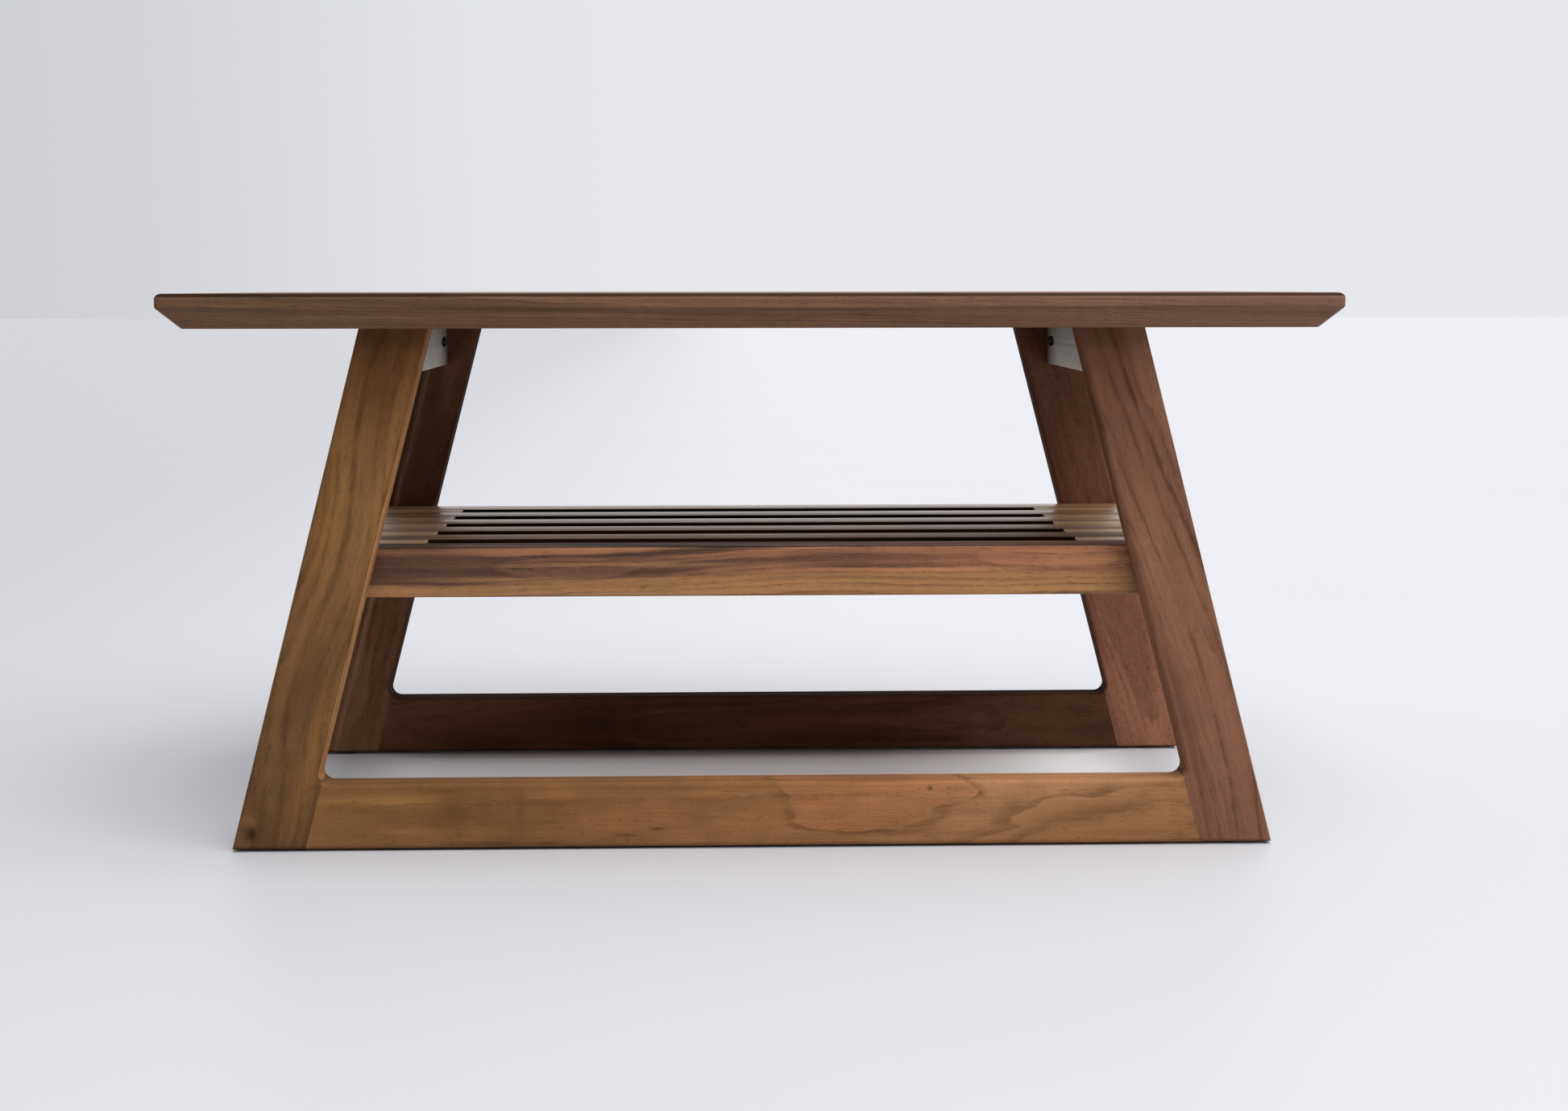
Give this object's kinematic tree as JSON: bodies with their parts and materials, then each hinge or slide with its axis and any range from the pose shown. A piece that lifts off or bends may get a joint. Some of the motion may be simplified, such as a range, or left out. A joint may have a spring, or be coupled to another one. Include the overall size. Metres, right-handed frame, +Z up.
{
  "type": "coffee table",
  "caption": "Low rectangular wooden coffee table: slab top with an under-bevelled rim, raked trapezoid frames front and back, and a slatted shelf between them.",
  "frame": {"origin": "on the floor, under the middle of the table", "axes": "+X along the length, to the right seen from the front; front faces -Y; +Z up"},
  "size_m": [0.914, 0.457, 0.445],
  "materials": {
    "top_walnut": "satin oil on brown walnut",
    "frame_walnut": "satin oil on golden brown walnut",
    "shelf_walnut": "satin oil on reddish brown walnut",
    "white_rail": "flat off-white paint",
    "screw_steel": "zinc plated",
    "joint_beech": "bare",
    "pad_felt": "dark felt"
  },
  "bodies": {
    "root": {"tabletop": "top_walnut", "front_bottom_rail": "frame_walnut", "front_left_leg": "frame_walnut", "foot_pad_front_left": "pad_felt", "pocket_screw_front_left": "screw_steel", "rail_tenon_front_left": "joint_beech", "shelf_dowel_front_left_1": "joint_beech", "shelf_dowel_front_left_2": "joint_beech", "front_right_leg": "frame_walnut", "foot_pad_front_right": "pad_felt", "pocket_screw_front_right": "screw_steel", "rail_tenon_front_right": "joint_beech", "shelf_dowel_front_right_1": "joint_beech", "shelf_dowel_front_right_2": "joint_beech", "back_bottom_rail": "frame_walnut", "back_left_leg": "frame_walnut", "foot_pad_back_left": "pad_felt", "pocket_screw_back_left": "screw_steel", "rail_tenon_back_left": "joint_beech", "shelf_dowel_back_left_1": "joint_beech", "shelf_dowel_back_left_2": "joint_beech", "back_right_leg": "frame_walnut", "foot_pad_back_right": "pad_felt", "pocket_screw_back_right": "screw_steel", "rail_tenon_back_right": "joint_beech", "shelf_dowel_back_right_1": "joint_beech", "shelf_dowel_back_right_2": "joint_beech", "shelf_slat_1": "shelf_walnut", "shelf_slat_2": "shelf_walnut", "shelf_slat_3": "shelf_walnut", "shelf_slat_4": "shelf_walnut", "shelf_slat_5": "shelf_walnut", "shelf_slat_6": "shelf_walnut", "shelf_spacer_left_1": "shelf_walnut", "shelf_spacer_left_2": "shelf_walnut", "shelf_spacer_left_3": "shelf_walnut", "shelf_spacer_left_4": "shelf_walnut", "shelf_spacer_left_5": "shelf_walnut", "left_top_rail": "white_rail", "top_screw_left_1": "screw_steel", "top_screw_left_2": "screw_steel", "top_screw_left_3": "screw_steel", "shelf_spacer_right_1": "shelf_walnut", "shelf_spacer_right_2": "shelf_walnut", "shelf_spacer_right_3": "shelf_walnut", "shelf_spacer_right_4": "shelf_walnut", "shelf_spacer_right_5": "shelf_walnut", "right_top_rail": "white_rail", "top_screw_right_1": "screw_steel", "top_screw_right_2": "screw_steel", "top_screw_right_3": "screw_steel"}
  },
  "joints": []
}
